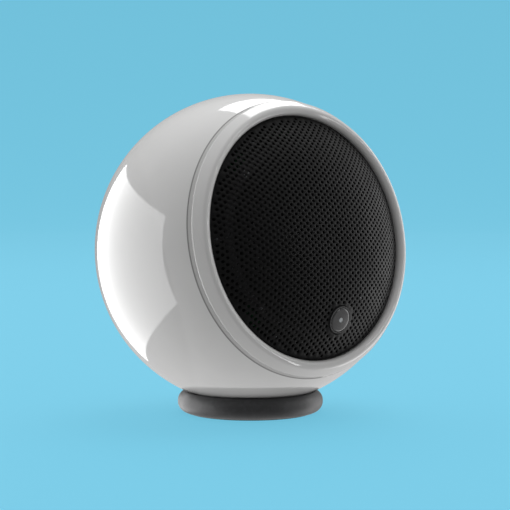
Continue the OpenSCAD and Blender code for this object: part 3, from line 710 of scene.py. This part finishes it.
softbox("softbox_left", [from_camera(-1.0, 0.39, 0.46), from_camera(-1.0, -0.74, 0.54),
                         from_camera(-1.0, -1.1, -2.3), from_camera(-1.0, 0.69, -1.55)], 3.6, 0.68)
softbox("softbox_top", [from_camera(-0.30, 1.3, -0.97), from_camera(0.15, 1.3, -0.1),
                        from_camera(0.9, 1.3, -1.5), from_camera(0.35, 1.3, -2.3)], 3.0, 1.4)
softbox("softbox_right", [from_camera(1.3, -1.5, -1.6), from_camera(1.3, 0.8, -1.6),
                          from_camera(1.3, 0.8, -0.25), from_camera(1.3, -1.5, -0.25)], 2.2)
softbox("softbox_strip", [from_camera(1.1, -0.8, 0.34), from_camera(1.1, 0.7, 0.34),
                          from_camera(1.1, 0.7, 0.42), from_camera(1.1, -0.8, 0.42)], 5.0)


def fill(name, place, size, watts):
    """A wide area light that lights matt surfaces only and shows in no reflection."""
    data = bpy.data.lights.new(name, "AREA")
    data.shape = "DISK"
    data.size = size
    data.energy = watts
    obj = bpy.data.objects.new(name, data)
    obj.location = place
    obj.rotation_mode = "QUATERNION"
    obj.rotation_quaternion = (BALL_CENTRE - place).to_track_quat("-Z", "Y")
    obj.visible_glossy = False
    obj.visible_camera = False
    bpy.context.scene.collection.objects.link(obj)


fill("fill_left", from_camera(-1.4, -0.35, 0.1), 1.2, 7.5)
fill("fill_top", from_camera(0.2, 1.4, -0.3), 1.0, 6)
fill("fill_right", from_camera(1.3, -0.2, -0.5), 1.0, 6)


# Brightness of the room by height, from straight down (0) to straight up (1)
ROOM = ((0.0, 0.9), (0.32, 0.72), (0.5, 0.42), (0.64, 0.54), (1.0, 1.1))
FRONT_DIM = 0.4                  # the room's brightness on the side of the photograph's camera
FRONT_SPAN = (-0.3, 0.8)         # cosines between which the room dims


def grey(value):
    return value, value, value, 1


def make_world():
    """Soft light that is strong from above and below, weak from the sides and weakest from the front."""
    world = bpy.data.worlds.new("studio")
    world.use_nodes = True
    nodes, links = world.node_tree.nodes, world.node_tree.links
    ground = nodes["Background"]
    place = nodes.new("ShaderNodeTexCoord").outputs["Generated"]
    height = nodes.new("ShaderNodeSeparateXYZ")
    links.new(place, height.inputs[0])
    spread = nodes.new("ShaderNodeMapRange")
    spread.inputs["From Min"].default_value = -1
    links.new(height.outputs["Z"], spread.inputs["Value"])
    ramp = nodes.new("ShaderNodeValToRGB")
    ramp.color_ramp.interpolation = "EASE"
    ramp.color_ramp.elements[0].color = grey(ROOM[0][1])
    ramp.color_ramp.elements[1].color = grey(ROOM[-1][1])
    for at, value in ROOM[1:-1]:
        ramp.color_ramp.elements.new(at).color = grey(value)
    links.new(spread.outputs["Result"], ramp.inputs["Fac"])
    ahead = nodes.new("ShaderNodeVectorMath")
    ahead.operation = "DOT_PRODUCT"
    ahead.inputs[1].default_value = tuple(back)
    links.new(place, ahead.inputs[0])
    dim = nodes.new("ShaderNodeMapRange")
    dim.inputs["From Min"].default_value = FRONT_SPAN[0]
    dim.inputs["From Max"].default_value = FRONT_SPAN[1]
    dim.inputs["To Min"].default_value = 1.0
    dim.inputs["To Max"].default_value = FRONT_DIM
    links.new(ahead.outputs["Value"], dim.inputs["Value"])
    links.new(dim.outputs["Result"], ground.inputs["Strength"])
    links.new(ramp.outputs["Color"], ground.inputs["Color"])
    bpy.context.scene.world = world


make_world()
bpy.context.scene.view_settings.view_transform = "Standard"
bpy.context.scene.view_settings.look = "None"


# ---- plain pale floor that sweeps up into the backdrop
PALE_BLUE = (0.188, 0.604, 0.807)
PAPER_LIT, PAPER_OWN = 0.2, 0.8  # how much of the paper's brightness the lamps give, and how much is its own


def floor_paper():
    """Even pale blue paper, faintly mottled, that takes only a faint shadow."""
    m = Nodes("floor_paper")
    patch = m.noise(900, 2)
    m.colour(m.mix(m.span(patch, 0, 1), shade_of(PALE_BLUE, 0.99 * PAPER_LIT),
                   shade_of(PALE_BLUE, 1.01 * PAPER_LIT)))
    m.bsdf.inputs["Roughness"].default_value = 0.9
    m.bsdf.inputs["Specular IOR Level"].default_value = 0.1
    m.bsdf.inputs["Emission Color"].default_value = (*PALE_BLUE, 1)
    m.bsdf.inputs["Emission Strength"].default_value = PAPER_OWN
    return m.mat


def make_floor():
    """A round sheet that lies flat under the object and bends up into a wall on every side, in metres."""
    near, flat, bend, height, sides, steps = 0.2, 2.4, 1.2, 3.6, 96, 16
    profile = [(0.0, 0.0), (near, 0.0), (flat, 0.0)]
    profile += [(flat + bend * math.sin(a), bend - bend * math.cos(a))
                for a in [math.pi / 2 * k / steps for k in range(1, steps + 1)]]
    profile += [(flat + bend, height)]
    verts = [(0, 0, 0)]
    for r, z in profile[1:]:
        verts += [(x, y, z) for x, y in circle(0, 0, r, sides)]
    faces = [(0, 1 + i, 1 + (i + 1) % sides) for i in range(sides)]
    for k in range(len(profile) - 2):
        a, b = 1 + k * sides, 1 + (k + 1) * sides
        faces += [(a + i, b + i, b + (i + 1) % sides, a + (i + 1) % sides) for i in range(sides)]
    mesh = bpy.data.meshes.new("floor")
    mesh.from_pydata(verts, [], faces)
    mesh.polygons.foreach_set("use_smooth", [True] * len(mesh.polygons))
    mesh.materials.append(floor_paper())
    floor = bpy.data.objects.new("floor", mesh)
    bpy.context.scene.collection.objects.link(floor)
    floor.visible_glossy = False
    floor.visible_diffuse = False


make_floor()

print("holes in the grille:", hole_count)
